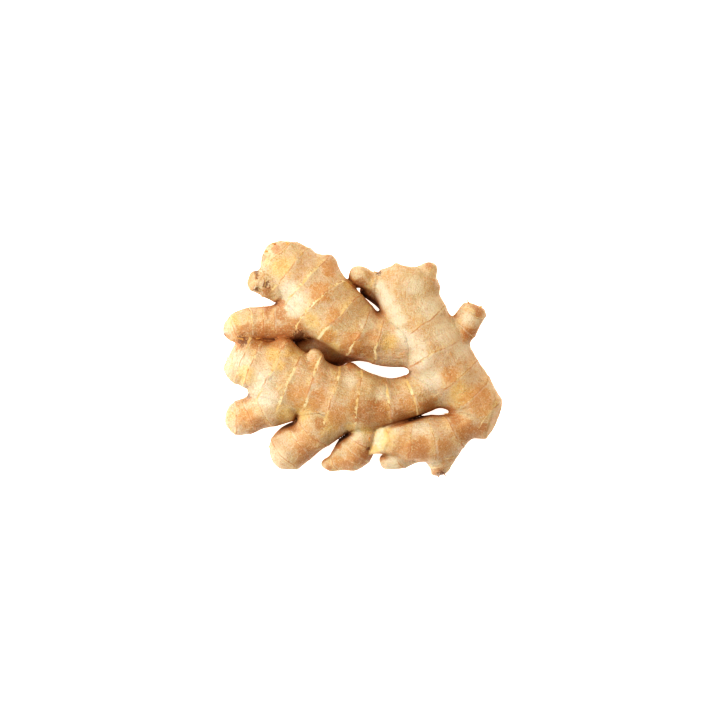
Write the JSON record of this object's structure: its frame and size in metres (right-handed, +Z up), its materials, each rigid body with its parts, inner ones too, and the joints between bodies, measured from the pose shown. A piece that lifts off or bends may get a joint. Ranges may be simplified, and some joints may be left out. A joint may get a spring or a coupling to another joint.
{
  "type": "ginger root",
  "caption": "Fresh ginger root: one branched rhizome with plump ringed lobes, short fingers and buds, lying flat.",
  "frame": {"origin": "under the middle of the root, on the surface it lies on", "axes": "+X along the root's longest extent, towards the thick stem; +Y across it, towards the lobe that lies furthest back; +Z up"},
  "size_m": [0.1456, 0.1224, 0.033],
  "materials": {
    "ginger_skin": "thin pale tan skin, satin, with darker ring scars"
  },
  "bodies": {
    "root": {"ginger_root": "ginger_skin"}
  },
  "joints": []
}
